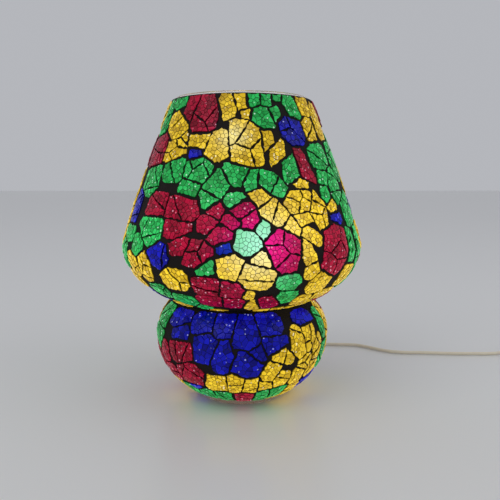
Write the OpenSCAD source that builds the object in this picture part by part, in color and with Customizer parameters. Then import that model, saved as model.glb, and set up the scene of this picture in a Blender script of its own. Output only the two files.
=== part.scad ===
// Crackle-glass mosaic table lamp: one blown body (shade, neck and bowl) covered in
// coloured glass pieces bedded in black grout, with a lampholder and bulb inside and a
// thin supply cord. Z is up, the foot rests on z = 0, and -Y is the front.

/* [Body] */
// Largest radius of the shade's mosaic bed
shade_r = 99; // [95:0.5:103]
// Radius of the mosaic bed at its top edge
mouth_r = 57.4; // [52:0.2:62]
// Height of the shade's widest level
shade_wide_z = 130; // [128:0.5:134]
// Height of the mosaic's top edge
mosaic_top_z = 246; // [236:1:256]
// Height of the shade's rounded underside
shade_under = 57.5; // [56:0.5:59]
// Largest radius of the bowl's mosaic bed
bowl_r = 72.4; // [70:0.2:75]
// Height of the bowl's widest level
bowl_wide_z = 55.5; // [54:0.5:57]
// Height of the bowl's rounded top above its widest level
bowl_over = 45.5; // [44:0.5:47]
// Depth of the bowl's rounded underside, down to an imagined pole
bowl_under = 59.5; // [58:0.5:61]
// Radius where the mosaic bed ends above the foot
bed_end_r = 38; // [36:0.5:40]

/* [Walls] */
// Thickness of the grout bed
bed_t = 2.5; // [2:0.1:3]
// Thickness of the blown glass
glass_t = 2.5; // [2:0.1:3]
// Bare glass above the mosaic's top edge
bare_rim = 2; // [1:0.5:4]
// Height of the glass floor inside the bowl
floor_z = 8; // [7.5:0.5:9]

/* [Mosaic] */
// How far the middle of a glass piece stands out of the grout
piece_crown = 1.2; // [0.8:0.1:1.4]
// How far the edge of a glass piece stands out of the grout
piece_edge = 0.5; // [0.3:0.1:0.6]
// How deep a glass piece is bedded
piece_depth = 2; // [1.2:0.1:2]
// Grout line between two pieces of one colour
joint_same = 1.1; // [0.8:0.1:1.6]
// Grout line between two colours
joint_other = 2.2; // [1.6:0.1:3]

/* [Lampholder and bulb] */
// Radius of the wooden block under the lampholder
block_r = 31; // [30:0.5:34]
// Thickness of the wooden block
block_t = 14; // [12:1:16]
// Radius of the bulb's screw cap
cap_r = 12.9; // [12.8:0.05:13.1]
// Radius of the bulb's round diffuser
bulb_r = 30; // [28:0.5:32]
// Length of the bulb, contact to top
bulb_len = 108; // [105:1:112]

/* [Cord] */
// Diameter of the supply cord
cord_d = 3.2; // [2.8:0.1:3.2]

/* [Hidden] */
$fn = 96;

RED = 0;
YELLOW = 1;
GREEN = 2;
BLUE = 3;
NONE = -1;
paint = ["crimson", "gold", "seagreen", "mediumblue"];

// ---- outline of the mosaic bed, as [radius, height], from the top edge to the foot ----
cone_power = 1.1;
bowl_power = 2.13;
neck_fillet = 2.5;

function cone_point(t) = [
    shade_r - (shade_r - mouth_r) * pow(t, cone_power),
    shade_wide_z + (mosaic_top_z - shade_wide_z) * t
];
function under_z(r) = shade_wide_z - shade_under * sqrt(1 - pow(r / shade_r, 2));
function over_z(r) = bowl_wide_z + bowl_over * sqrt(1 - pow(r / bowl_r, 2));
function crease(low, high, steps) =
    steps == 0 ? (low + high) / 2
    : let (mid = (low + high) / 2)
      under_z(mid) < over_z(mid) ? crease(mid, high, steps - 1) : crease(low, mid, steps - 1);
function slope_angle(a, b) = atan((b[1] - a[1]) / (b[0] - a[0]));

crease_r = crease(45, 70, 24);
crease_pt = [crease_r, under_z(crease_r)];
probe = 3;
under_angle = slope_angle(crease_pt, [crease_r + probe, under_z(crease_r + probe)]);
over_angle = slope_angle(crease_pt, [crease_r + probe, over_z(crease_r + probe)]);
half_open = (under_angle - over_angle) / 2;
fillet_reach = neck_fillet / tan(half_open);
fillet_mid = crease_pt + neck_fillet / sin(half_open)
    * [cos((under_angle + over_angle) / 2), sin((under_angle + over_angle) / 2)];
under_end_r = crease_r + fillet_reach * cos(under_angle);
over_start_r = crease_r + fillet_reach * cos(over_angle);
under_end_a = acos(under_end_r / shade_r);
over_start_a = acos(over_start_r / bowl_r);
bed_end_a = acos(pow(bed_end_r / bowl_r, bowl_power / 2));

cone_steps = 16;
round_steps = 14;
bed_outline = concat(
    [for (i = [cone_steps:-1:0]) cone_point(i / cone_steps)],
    [for (i = [1:round_steps]) let (a = under_end_a * i / round_steps)
        [shade_r * cos(a), shade_wide_z - shade_under * sin(a)]],
    [for (i = [1:5]) let (a = 90 + under_angle + (180 - 2 * half_open) * i / 6)
        fillet_mid + neck_fillet * [cos(a), sin(a)]],
    [for (i = [round_steps / 2:-1:0]) let (a = over_start_a * i / (round_steps / 2))
        [bowl_r * cos(a), bowl_wide_z + bowl_over * sin(a)]],
    [for (i = [1:round_steps]) let (a = bed_end_a * i / round_steps)
        [bowl_r * pow(cos(a), 2 / bowl_power),
         bowl_wide_z - bowl_under * pow(sin(a), 2 / bowl_power)]]
);
last = len(bed_outline) - 1;
neck_index = cone_steps + round_steps + 3;

function unit(v) = v / norm(v);
function tangent(i) = unit(bed_outline[min(i + 1, last)] - bed_outline[max(i - 1, 0)]);
function outward(i) = let (t = tangent(i)) [-t[1], t[0]];
function offset_point(i, d) = bed_outline[i] + d * outward(i);
function offset_line(d, from, to) = [for (i = [from:to]) offset_point(i, d)];
function reversed(list) = [for (i = [len(list) - 1:-1:0]) list[i]];

glass_out = -bed_t;
glass_in = -bed_t - glass_t;
rim_step = (bare_rim + bed_t * outward(0)[1]) / tangent(0)[1] * tangent(0);

// ---- lengths along the outline, and where a point on the mosaic lies ----
lengths = [for (i = 0, s = 0; i <= last;
    s = s + (i < last ? norm(bed_outline[i + 1] - bed_outline[i]) : 0), i = i + 1) s];
radius_table = [for (i = [0:last]) [lengths[i], bed_outline[i][0]]];
height_table = [for (i = [0:last]) [lengths[i], bed_outline[i][1]]];
out_r_table = [for (i = [0:last]) [lengths[i], outward(i)[0]]];
out_z_table = [for (i = [0:last]) [lengths[i], outward(i)[1]]];
neck_s = lengths[neck_index];
end_s = lengths[last];

function bed_radius(s) = lookup(s, radius_table);
function on_bed(azimuth, s, d) =
    let (r = bed_radius(s) + d * lookup(s, out_r_table))
    [r * sin(azimuth), -r * cos(azimuth), lookup(s, height_table) + d * lookup(s, out_z_table)];

// ---- the glass pieces ----
// Each is [colour, azimuth, way down, width, height, turn]. Azimuth is in degrees from the
// front, the way down is in mm from the top edge (shade) or from the neck (bowl), and a
// positive turn lowers the right-hand end.
shade_front = [
    [GREEN, -66, 17, 12, 27, 0], [GREEN, -51, 5, 13, 10, 0], [RED, -37, 12, 10, 23, 8],
    [RED, -25, 15, 19, 31, 0], [YELLOW, -10, 10, 10.5, 21, 0], [YELLOW, -0.5, 7, 8, 14, 0],
    [YELLOW, 3, 18, 5, 8, -15], [GREEN, 9, 6, 9, 10, 0], [GREEN, 16.5, 6, 8, 10, 0],
    [GREEN, 14, 20, 15, 18, 0], [GREEN, 22, 17, 6, 11, 0], [GREEN, 26, 3, 6, 4, 0],
    [GREEN, 37, 11, 9, 22, -25], [BLUE, 33, 30, 19, 24, 0], [YELLOW, 50, 8, 12, 17, 0],
    [YELLOW, 48, 27, 12, 19, 0], [YELLOW, 64, 20, 12, 30, 0], [YELLOW, 43, 38, 4, 5, 0],
    [YELLOW, -46, 24, 19, 23, -20], [YELLOW, -43, 44, 23, 17, 0], [YELLOW, -36.5, 34, 4, 6, 0],
    [YELLOW, -25, 38, 17, 12, 0], [BLUE, -26, 47.5, 9, 7, 0], [YELLOW, -14, 42, 20, 20, -35],
    [YELLOW, 2, 40, 27, 37, 0], [RED, -60, 44, 26, 26, 0], [YELLOW, 14.5, 39, 8, 18, 0],
    [YELLOW, 20, 47, 9, 27, 5], [GREEN, 26.5, 59, 11, 33, 0], [RED, 35, 57, 9, 31, -20],
    [GREEN, 50, 49, 20, 20, 0], [GREEN, 48, 66, 11, 11, 0], [GREEN, 58, 73, 15, 27, 0],
    [GREEN, 46, 80, 7, 14, 0], [GREEN, 70, 52, 17, 32, 0],
    [GREEN, -39, 60, 20, 17, 0], [GREEN, -24, 60, 21, 17, 0], [GREEN, -27, 74, 15, 11, 15],
    [GREEN, -3, 63, 18, 16, 0], [GREEN, -12, 71, 15, 20, 30], [GREEN, -16, 82, 14, 11, 20],
    [GREEN, -3, 82, 13, 8, -5], [GREEN, 5, 68, 9, 17, 0], [GREEN, 15, 70, 24, 12, 35],
    [GREEN, -57, 68, 22, 23, 0], [YELLOW, -81, 96, 17, 50, 0], [BLUE, -66, 90, 13, 25, 0],
    [YELLOW, 31, 69, 11, 8, 20], [YELLOW, 8, 80, 15, 11, 35], [YELLOW, 14, 92, 17, 21, -40],
    [YELLOW, 28, 84, 23, 16, 0], [YELLOW, 38, 91, 14, 28, 0], [YELLOW, 29, 97, 14, 9, 0],
    [YELLOW, 23, 103, 14, 9, 45], [YELLOW, 31, 109, 19, 8, 35], [YELLOW, 28, 121, 9, 17, -25],
    [YELLOW, 49, 88, 9, 9, -40], [BLUE, 50, 98, 12, 8, 0], [GREEN, 66, 92, 20, 27, 0],
    [RED, -45, 88, 21, 20, 0], [RED, -29, 89, 27, 17, 0], [RED, -30, 104, 24, 12, 0],
    [RED, -27, 116, 17, 11, 0], [RED, -19, 121, 22, 17, 0], [RED, -12, 90, 10, 9, 0],
    [RED, 0, 89, 20, 8, 0], [RED, -15, 100, 13, 11, 0], [RED, -5, 98, 11, 8, 0],
    [RED, 4, 97, 11, 13, 0], [RED, -9, 108, 20, 10, 0], [GREEN, 2, 112, 20, 16, 0],
    [GREEN, 9, 103, 7, 17, 0], [RED, 18, 118, 25, 31, -35], [RED, 45, 120, 25, 38, 20],
    [BLUE, -7, 117, 11, 7, 20], [YELLOW, -5, 129, 17, 17, 20], [YELLOW, 6, 137, 24, 19, 15],
    [YELLOW, 8, 125, 12, 9, 20], [GREEN, -45, 105, 28, 21, 30], [GREEN, -66, 110, 23, 12, 0],
    [GREEN, -53, 119, 13, 16, 0], [GREEN, -70, 128, 17, 22, 0], [BLUE, -38, 124, 19, 17, 20],
    [GREEN, 58, 120, 10, 25, 0], [GREEN, 70, 120, 16, 33, 0],
    [YELLOW, -58, 134, 13, 18, -15], [YELLOW, -48, 134, 13, 25, 10], [YELLOW, -66, 150, 22, 14, 0],
    [YELLOW, -31, 142, 20, 18, 0], [GREEN, -15, 131, 13, 8, -20], [RED, -16, 147, 19, 17, 0],
    [RED, -5, 150, 17, 15, 10], [RED, -17, 165, 18, 16, 0], [RED, -5, 167, 15, 15, 0],
    [GREEN, -46, 158, 17, 16, 0], [GREEN, -34, 168, 22, 16, 0], [GREEN, -25, 179, 12, 9, 0],
    [YELLOW, 59, 145, 19, 19, 0], [RED, 80, 134, 14, 16, 0], [RED, 64, 174, 24, 14, 0],
    [YELLOW, 31, 135, 11, 11, 0], [YELLOW, 38, 147, 19, 19, 0], [GREEN, 20.5, 143, 16, 13, 20],
    [GREEN, 23, 160, 14, 16, 0], [YELLOW, 35, 168, 13, 14, 0], [YELLOW, 43, 177, 13, 11, 0],
    [YELLOW, 51, 164, 22, 12, 0], [YELLOW, 3, 155, 6, 8, 0], [YELLOW, 6, 171, 10, 17, 0],
    [RED, 14, 168, 16, 19, 0], [YELLOW, -18, 188, 16, 8, 0], [YELLOW, -6, 189, 12, 7, 0],
    [YELLOW, 4, 189, 12, 6, 0], [YELLOW, 14, 188, 14, 8, 0], [YELLOW, 25, 187, 12, 9, 0],
    [YELLOW, 36, 187, 12, 9, 0], [YELLOW, -45, 181, 15, 9, 0]
];
bowl_front = [
    [GREEN, -69, 12, 20, 20, 0], [GREEN, -71, 31, 24, 17, 0], [BLUE, -47, 10, 20, 12, 0],
    [BLUE, -43, 22, 14, 11, 0], [BLUE, -26, 11, 17, 16, 0], [BLUE, -11, 12, 18, 18, 0],
    [BLUE, -23, 30, 17, 20, 0], [BLUE, -12, 36, 13, 24, 0], [BLUE, 2, 15, 20, 25, 0],
    [BLUE, 17, 11, 18, 17, 0], [BLUE, 20, 27, 19, 12, 0], [BLUE, 10, 32, 9, 9, 0],
    [BLUE, 3, 43, 21, 17, 25], [BLUE, 46, 11, 19, 12, 0], [RED, -42, 36, 21, 18, 0],
    [RED, -37, 55, 24, 20, 10], [RED, -60, 41, 13, 17, 0], [RED, -57, 59, 16, 16, 0],
    [YELLOW, -17, 61, 18, 16, 0], [YELLOW, -5, 61, 14, 20, 0], [YELLOW, 6, 63, 14, 17, 0],
    [YELLOW, 23, 36, 9, 10, 0], [YELLOW, 18, 49, 11, 16, 30], [YELLOW, 27, 58, 11, 14, 20],
    [YELLOW, 15, 63, 12, 8, 0], [YELLOW, 30, 38, 6, 9, 0], [YELLOW, 37, 29, 13, 25, 0],
    [YELLOW, 47, 26, 12, 23, 0], [YELLOW, 56, 36, 11, 20, 0], [YELLOW, 44, 46, 12, 12, 0],
    [YELLOW, 40, 58, 11, 15, 0], [YELLOW, 42, 78, 14, 17, 0], [YELLOW, 54, 55, 11, 14, 0],
    [YELLOW, 77, 18, 16, 30, 0], [GREEN, 66, 19, 11, 25, 0], [GREEN, 69, 48, 16, 22, 0],
    [BLUE, 61, 70, 18, 17, 0], [GREEN, -46, 78, 16, 15, 0], [GREEN, -31, 80, 17, 18, 0],
    [GREEN, -15, 81, 18, 19, 0], [BLUE, -37, 70, 6, 7, 0], [RED, 1, 81, 19, 20, 0],
    [GREEN, 17, 81, 15, 22, 0], [GREEN, 30, 78, 16, 19, 0]
];

// The back is laid in rows, with sizes and colours that vary from a fixed seed.
row_pitch = 24;
back_width = 26;
side_start = 74;
shade_looseness = 2.6;
colour_bag = [RED, RED, RED, YELLOW, YELLOW, YELLOW, GREEN, GREEN, GREEN, BLUE];
function varied(count, seed) = rands(0, 1, count, seed);
function laid_row(way, r, height, from, seed, loose = 1) =
    let (count = floor(2 * PI * r / back_width), v = varied(count * 4 + 4, seed))
    [for (i = [0:count - 1])
        let (azimuth = (i + v[i] * 0.35) * 360 / count + seed * 11 % 360,
             centred = azimuth > 540 ? azimuth - 720 : azimuth > 180 ? azimuth - 360 : azimuth)
        if (abs(centred) > from)
            [colour_bag[floor(v[count + i] * 9.99)], centred, way + (v[2 * count + i] - 0.5) * 5 * loose,
             back_width * (1 + (v[3 * count + i] - 0.5) * (0.3 + 0.2 * loose)), height * (0.85 + 0.35 * v[i]),
             (v[count + i] - 0.5) * (15 + 15 * loose)]];
function clear_of(piece, others) =
    len([for (o = others)
        let (dx = around(o[1] - piece[1]) * mm_per_degree(piece[2]), dy = o[2] - piece[2])
        if (abs(dx) < (o[3] + piece[3]) * 0.32 && abs(dy) < (o[4] + piece[4]) * 0.32) 1]) == 0;
function mm_per_degree(s) = bed_radius(s) * PI / 180;
function around(a) = a > 180 ? a - 360 : a < -180 ? a + 360 : a;

// The cord's way out of the bowl is kept clear by a piece of no colour.
exit_z = 20;
exit_s = lookup(-exit_z, [for (i = [neck_index:last]) [-bed_outline[i][1], lengths[i]]]);
bowl_listed = concat([[NONE, 180, exit_s, 17, 17, 0]],
    [for (p = bowl_front) [p[0], p[1], p[2] + neck_s, p[3], p[4], p[5]]]);
shade_rows = floor((neck_s - 4) / row_pitch);
bowl_rows = floor((end_s - neck_s - 4) / row_pitch);
shade_laid = [for (k = [0:shade_rows - 1])
    let (way = (k + 0.5) * (neck_s - 2) / shade_rows)
    each laid_row(way, bed_radius(way), row_pitch, side_start, 21 + k, shade_looseness)];
bowl_laid = [for (k = [0:bowl_rows - 1])
    let (way = neck_s + 3 + (k + 0.5) * (end_s - neck_s - 4) / bowl_rows)
    each laid_row(way, bed_radius(way), row_pitch, k == bowl_rows - 1 ? 62 : side_start, 41 + k)];
foot_row = laid_row(end_s - 7, bed_radius(end_s - 7) * 1.7, 12, -1, 61);
shade_pieces = concat(shade_front, [for (p = shade_laid) if (clear_of(p, shade_front)) p]);
bowl_upper = concat(bowl_listed, [for (p = bowl_laid) if (clear_of(p, bowl_listed)) p]);
bowl_pieces = concat(bowl_upper, [for (p = foot_row) if (clear_of(p, bowl_upper)) p]);

// A piece starts as a rounded, uneven outline, and its neighbours' grout lines cut it.
corners = 12;
roundness = 0.62;
least_area = 14;
function reach(p, direction) =
    let (a = direction - p[5]) norm([p[3] / 2 * cos(a), p[4] / 2 * sin(a)]);
function signed_pow(x, e) = sign(x) * pow(abs(x), e);
function raw_outline(p) =
    let (v = varied(corners, round(p[1] * 7 + p[2] * 13 + 2000)))
    [for (i = [0:corners - 1])
        let (a = (i + 0.5) * 360 / corners, k = 0.99 + 0.14 * v[i],
             x = p[3] / 2 * k * signed_pow(cos(a), roundness),
             y = p[4] / 2 * k * signed_pow(sin(a), roundness))
        [x * cos(p[5]) - y * sin(p[5]), x * sin(p[5]) + y * cos(p[5])]];
function cut(outline, direction, limit) =
    [for (i = [0:len(outline) - 1])
        let (a = outline[i], b = outline[(i + 1) % len(outline)],
             da = direction * a - limit, db = direction * b - limit)
        each concat(da <= 0 ? [a] : [], (da <= 0) != (db <= 0) ? [a + (b - a) * da / (da - db)] : [])];
function cut_all(outline, lines, i = 0) =
    i >= len(lines) || len(outline) < 3 ? outline
    : cut_all(cut(outline, lines[i][0], lines[i][1]), lines, i + 1);
function grout_lines(p, all) =
    [for (o = all)
        let (scale_x = mm_per_degree((p[2] + o[2]) / 2),
             dx = around(o[1] - p[1]) * scale_x, dy = o[2] - p[2],
             d = norm([dx, dy]), a = atan2(dy, dx), mine = reach(p, a), theirs = reach(o, a))
        if (d > 0.01 && d < 1.3 * (mine + theirs) + 5)
            [[cos(a) * scale_x / mm_per_degree(p[2]), sin(a)],
             d * mine / (mine + theirs) - (o[0] == p[0] ? joint_same : joint_other) / 2]];
function merged(outline, least = 0.9) =
    [for (i = [0:len(outline) - 1])
        if (norm(outline[i] - outline[(i + 1) % len(outline)]) > least) outline[i]];
function area(outline) =
    abs([for (i = [0:len(outline) - 1]) cross(outline[i], outline[(i + 1) % len(outline)])]
        * [for (i = [0:len(outline) - 1]) 1]) / 2;
function refined(outline, most = 8.5) =
    [for (i = [0:len(outline) - 1])
        let (a = outline[i], b = outline[(i + 1) % len(outline)], n = ceil(norm(b - a) / most))
        for (k = [0:n - 1]) a + (b - a) * k / n];
function piece_outline(p, all, top, bottom) =
    refined(merged(cut_all(raw_outline(p), concat(grout_lines(p, all),
        [[[0, -1], p[2] - top], [[0, 1], bottom - p[2]]]))));
function middle(outline) = [for (k = [0, 1])
    [for (q = outline) q[k]] * [for (q = outline) 1] / len(outline)];
function placed(p, q, d) = on_bed(p[1] + q[0] / mm_per_degree(p[2]), p[2] + q[1], d);
function shell_points(p, outline) =
    concat([for (q = outline) placed(p, q, piece_edge)],
           [for (q = outline) placed(p, q, -piece_depth)],
           [placed(p, middle(outline), piece_crown), placed(p, middle(outline), -piece_depth)]);
function shell_faces(n, o) =
    [for (i = [0:n - 1]) let (j = (i + 1) % n)
        each [[o + 2 * n, o + i, o + j], [o + 2 * n + 1, o + n + j, o + n + i],
              [o + i, o + n + i, o + n + j], [o + i, o + n + j, o + j]]];

module glass_pieces(colour, all, top, bottom) {
    kept = [for (p = all) if (p[0] == colour)
        let (outline = piece_outline(p, all, top, bottom))
        if (len(outline) >= 3 && area(outline) > least_area) [p, outline]];
    starts = [for (i = 0, o = 0; i < len(kept); o = o + 2 * len(kept[i][1]) + 2, i = i + 1) o];
    color(paint[colour])
        polyhedron(
            points = [for (k = kept) each shell_points(k[0], k[1])],
            faces = [for (i = [0:len(kept) - 1]) each shell_faces(len(kept[i][1]), starts[i])]);
}
module shade_glass(colour) { glass_pieces(colour, shade_pieces, 1, neck_s - 2.5); }
module bowl_glass(colour) { glass_pieces(colour, bowl_pieces, neck_s + 3, end_s - 1); }

// ---- blown glass body and grout ----
boot_r = 4.6;
boot_hole_r = 3.4;
boot_in_y = 50;
boot_tip_y = 84;
foot_r = offset_point(last, glass_out)[0];

module exit_hole(extra) {
    translate([0, 40, exit_z]) rotate([-90, 0, 0]) cylinder(r = boot_hole_r + extra, h = 40);
}
module glass_body() {
    outer = concat([offset_point(0, glass_out) + rim_step], offset_line(glass_out, 0, last));
    inner = concat([offset_point(0, glass_in) + rim_step],
        [for (q = offset_line(glass_in, 0, last - 1)) if (q[1] > floor_z + 0.5) q]);
    floor_r = inner[len(inner) - 1][0] - 2;
    color("whitesmoke")
        difference() {
            rotate_extrude()
                polygon(concat(outer, [[foot_r, 0.6], [foot_r - 0.6, 0], [0, 0], [0, floor_z],
                    [floor_r, floor_z]], reversed(inner)));
            exit_hole(0);
        }
}
module grout(from, to) {
    color([0.05, 0.05, 0.06])
        difference() {
            rotate_extrude()
                polygon(concat(offset_line(0, from, to), reversed(offset_line(glass_out, from, to))));
            exit_hole(0);
        }
}

// ---- lampholder on its wooden block ----
bed_top_z = floor_z + 1;
block_top_z = bed_top_z + block_t;
flange_r = 26;
flange_t = 8;
barrel_r = 19.5;
barrel_top_z = block_top_z + 54;
web_z = block_top_z + 17;
web_t = 5;
well_z = web_z + web_t;
well_r = 15;
chamber_r = 14;
screw_ring_r = 23;
lead_z = block_top_z + 4;
terminal_x = 8;
terminal_z = web_z - 7;
shell_t = 0.5;
shell_r = cap_r + 0.4 + shell_t;
lining_h = 24.6;

module adhesive_bed() {
    color("gainsboro") translate([0, 0, floor_z]) cylinder(r = block_r - 5, h = bed_top_z - floor_z);
}
module wood_block() {
    color("burlywood")
        difference() {
            translate([0, 0, bed_top_z])
                rotate_extrude()
                    polygon([[0, 0], [block_r - 1, 0], [block_r, 1], [block_r, block_t - 2],
                             [block_r - 2, block_t], [0, block_t]]);
            for (a = [0, 180]) rotate(a)
                translate([screw_ring_r, 0, block_top_z - 10]) cylinder(r = 1.4, h = 11, $fn = 48);
        }
}
module holder_body() {
    color("ivory")
        difference() {
            union() {
                translate([0, 0, block_top_z]) cylinder(r = flange_r, h = flange_t);
                translate([0, 0, block_top_z + flange_t])
                    cylinder(r = barrel_r, h = barrel_top_z - block_top_z - flange_t);
            }
            translate([0, 0, block_top_z - 1]) cylinder(r = chamber_r, h = web_z - block_top_z + 1);
            translate([0, 0, well_z]) cylinder(r = well_r, h = barrel_top_z - well_z + 1);
            translate([0, 0, web_z - 1]) cylinder(r = 1.5, h = web_t + 2, $fn = 48);
            translate([terminal_x, 0, web_z - 1]) cylinder(r = 1.5, h = web_t + 2, $fn = 48);
            translate([0, 10, lead_z]) rotate([-90, 0, 0])
                cylinder(r = cord_d / 2 + 0.2, h = flange_r, $fn = 48);
            for (a = [0, 180]) rotate(a)
                translate([screw_ring_r, 0, block_top_z - 1])
                    cylinder(r = 1.8, h = flange_t + 2, $fn = 48);
        }
}
module holder_lining() {
    color("linen")
        translate([0, 0, well_z])
            difference() {
                cylinder(r = well_r - 0.1, h = lining_h);
                translate([0, 0, -1]) cylinder(r = shell_r + 0.1, h = lining_h + 2);
            }
}
module holder_shell() {
    color("goldenrod")
        translate([0, 0, well_z])
            difference() {
                cylinder(r = shell_r, h = 24);
                translate([0, 0, 0.6]) cylinder(r = shell_r - shell_t, h = 25);
                translate([0, 0, -1]) cylinder(r = 5, h = 3);
            }
}
module holder_centre_contact() {
    color("goldenrod") {
        translate([0, 0, web_z - 4]) cylinder(r = 1.5, h = web_t + 6, $fn = 48);
        translate([0, 0, well_z + 2]) cylinder(r = 3.4, h = 1, $fn = 48);
    }
}
module holder_side_contact() {
    color("goldenrod") translate([terminal_x, 0, web_z - 4]) cylinder(r = 1.5, h = web_t + 4, $fn = 48);
}
module terminal_screws() {
    color("silver")
        for (x = [0, terminal_x]) translate([x, 0, terminal_z]) cylinder(r = 2.6, h = 3, $fn = 48);
}
module mounting_screws() {
    head_t = 2.2;
    color("silver")
        for (a = [0, 180]) rotate(a) translate([screw_ring_r, 0, block_top_z + flange_t]) {
            cylinder(r1 = 2.8, r2 = 2, h = head_t, $fn = 48);
            translate([0, 0, -flange_t - 9]) cylinder(r = 1.4, h = flange_t + 9, $fn = 48);
        }
}

// ---- bulb ----
tip_z = well_z + 3.1;
cap_z = tip_z + 3.5;
cap_len = 20;
housing_z = cap_z + cap_len;
globe_z = tip_z + bulb_len - bulb_r;
skirt_r = 13.6;
globe_open_a = 52;
globe_edge = [bulb_r * cos(globe_open_a), globe_z - bulb_r * sin(globe_open_a)];
globe_t = 1.2;
led_board_z = globe_edge[1] - 2.2;

module bulb_contact() {
    color("silver") translate([0, 0, tip_z])
        rotate_extrude() polygon([[0, 0], [2.5, 0], [4.5, 1.2], [4.5, 2], [0, 2]]);
}
module bulb_insulator() {
    color([0.12, 0.12, 0.13]) translate([0, 0, tip_z + 2])
        rotate_extrude() polygon([[0, 0], [5.5, 0], [9, 1.5], [0, 1.5]]);
}
module bulb_cap() {
    color("silver") translate([0, 0, cap_z])
        rotate_extrude()
            polygon([[0, 0], [9, 0], [cap_r, 2.4], [cap_r, cap_len], [cap_r - 0.4, cap_len],
                     [cap_r - 0.4, 2.6], [8.8, 0.4], [0, 0.4]]);
}
module bulb_housing() {
    wall = 1.6;
    top = globe_edge[1];
    color("white")
        rotate_extrude()
            polygon([[11, housing_z], [skirt_r, housing_z], [skirt_r + 0.8, housing_z + 6],
                     [globe_edge[0], top], [globe_edge[0] - wall, top],
                     [skirt_r - wall, housing_z + 6], [11, housing_z + 3]]);
}
module bulb_driver() {
    color("darkgreen")
        translate([-8, -0.8, cap_z + 1]) cube([16, 1.6, led_board_z - cap_z - 1]);
}
module bulb_led_board() {
    color("gainsboro")
        translate([0, 0, led_board_z]) cylinder(r = globe_edge[0] - 2.2, h = 1.6);
}
module bulb_diffuser() {
    steps = 20;
    outer = [for (i = [0:steps]) let (a = -globe_open_a + (90 + globe_open_a) * i / steps)
        [bulb_r * cos(a), globe_z + bulb_r * sin(a)]];
    inner = [for (i = [0:steps]) let (a = -globe_open_a + (90 + globe_open_a) * i / steps)
        [(bulb_r - globe_t) * cos(a), globe_z + (bulb_r - globe_t) * sin(a)]];
    color("white") rotate_extrude() polygon(concat(outer, reversed(inner)));
}

// ---- tubes that follow a route ----
function along(route, i) = unit(route[min(i + 1, len(route) - 1)] - route[max(i - 1, 0)]);
function side_of(t) = unit(abs(t[2]) > 0.9 ? cross([0, 1, 0], t) : cross([0, 0, 1], t));
function ring(centre, t, r, sides) =
    let (u = side_of(t), v = cross(t, u))
    [for (k = [0:sides - 1]) let (a = (k + 0.5) * 360 / sides)
        centre + r / cos(180 / sides) * (cos(a) * u + sin(a) * v)];
module tube(route, r, sides = 8) {
    n = len(route);
    polyhedron(
        points = [for (i = [0:n - 1]) each ring(route[i], along(route, i), r, sides)],
        faces = concat(
            [[for (k = [0:sides - 1]) k]],
            [[for (k = [sides - 1:-1:0]) (n - 1) * sides + k]],
            [for (i = [0:n - 2], k = [0:sides - 1])
                let (a = i * sides + k, b = i * sides + (k + 1) % sides)
                each [[a, a + sides, b], [b, a + sides, b + sides]]]));
}

// ---- cord: leads inside, the way out, and the route on the table ----
cord_r = cord_d / 2;
inner_route = [
    [0, 18, lead_z], [0, 28, lead_z], [0, 34, lead_z - 1.5], [0, 40, lead_z - 5],
    [0, 46, exit_z + 0.6], [0, 52, exit_z], [0, 68, exit_z], [0, boot_tip_y, exit_z]
];
live_route = [
    [-0.85, 18, lead_z], [-0.85, 12.5, lead_z], [-0.8, 7, lead_z + 1], [-0.3, 2.5, lead_z + 2.6],
    [0, 0.2, terminal_z - 1.8], [0, 0.2, terminal_z]
];
neutral_route = [
    [0.85, 18, lead_z], [0.85, 12.5, lead_z], [3, 7, lead_z + 1], [6.5, 2.5, lead_z + 2.6],
    [terminal_x, 0.2, terminal_z - 1.8], [terminal_x, 0.2, terminal_z]
];
run_route = [
    [0, 84, 20], [0, 90, 19.6], [0.5, 96, 17.4], [1.5, 101.5, 13], [3.5, 106.5, 8.2],
    [7, 111, 4.4], [12, 115.5, 2.3], [19, 119.5, 1.8], [28, 122.5, 1.8], [40, 124.5, 1.8],
    [55, 125, 1.8], [72, 124, 1.8], [90, 122.5, 1.8], [106, 121, 1.8], [117, 120, 1.8],
    [126, 117.5, 1.8], [134, 112.5, 1.8], [142, 105.5, 1.8], [150, 99, 1.8], [160, 94, 1.8],
    [172, 91.5, 1.8], [186, 91, 1.8], [203, 89, 1.8], [222, 87.5, 1.8], [242, 87, 1.8],
    [260, 87, 1.8], [268, 87, 2.4], [276, 87, 4.2], [284, 87, 6.3], [290, 87, 7.3], [296, 87, 7.5],
    [304, 87, 7.5]
];
link_route = [
    [348, 87, 7.5], [356, 87, 7.5], [362, 87, 7.2], [369, 86.4, 5.6], [376, 85.2, 3.4],
    [384, 83.8, 2], [392, 83.2, 1.8]
];
tail_route = [
    [392, 40.8, 11.5], [384, 40.8, 11.2], [376, 40.5, 10.1], [368, 40.2, 8.6], [360, 40, 7.4],
    [352, 40, 7]
];
coil_mid = [392, 62];
coil_mean_r = 18;
coil_half_w = 5;
coil_h = 13.4;

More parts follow.
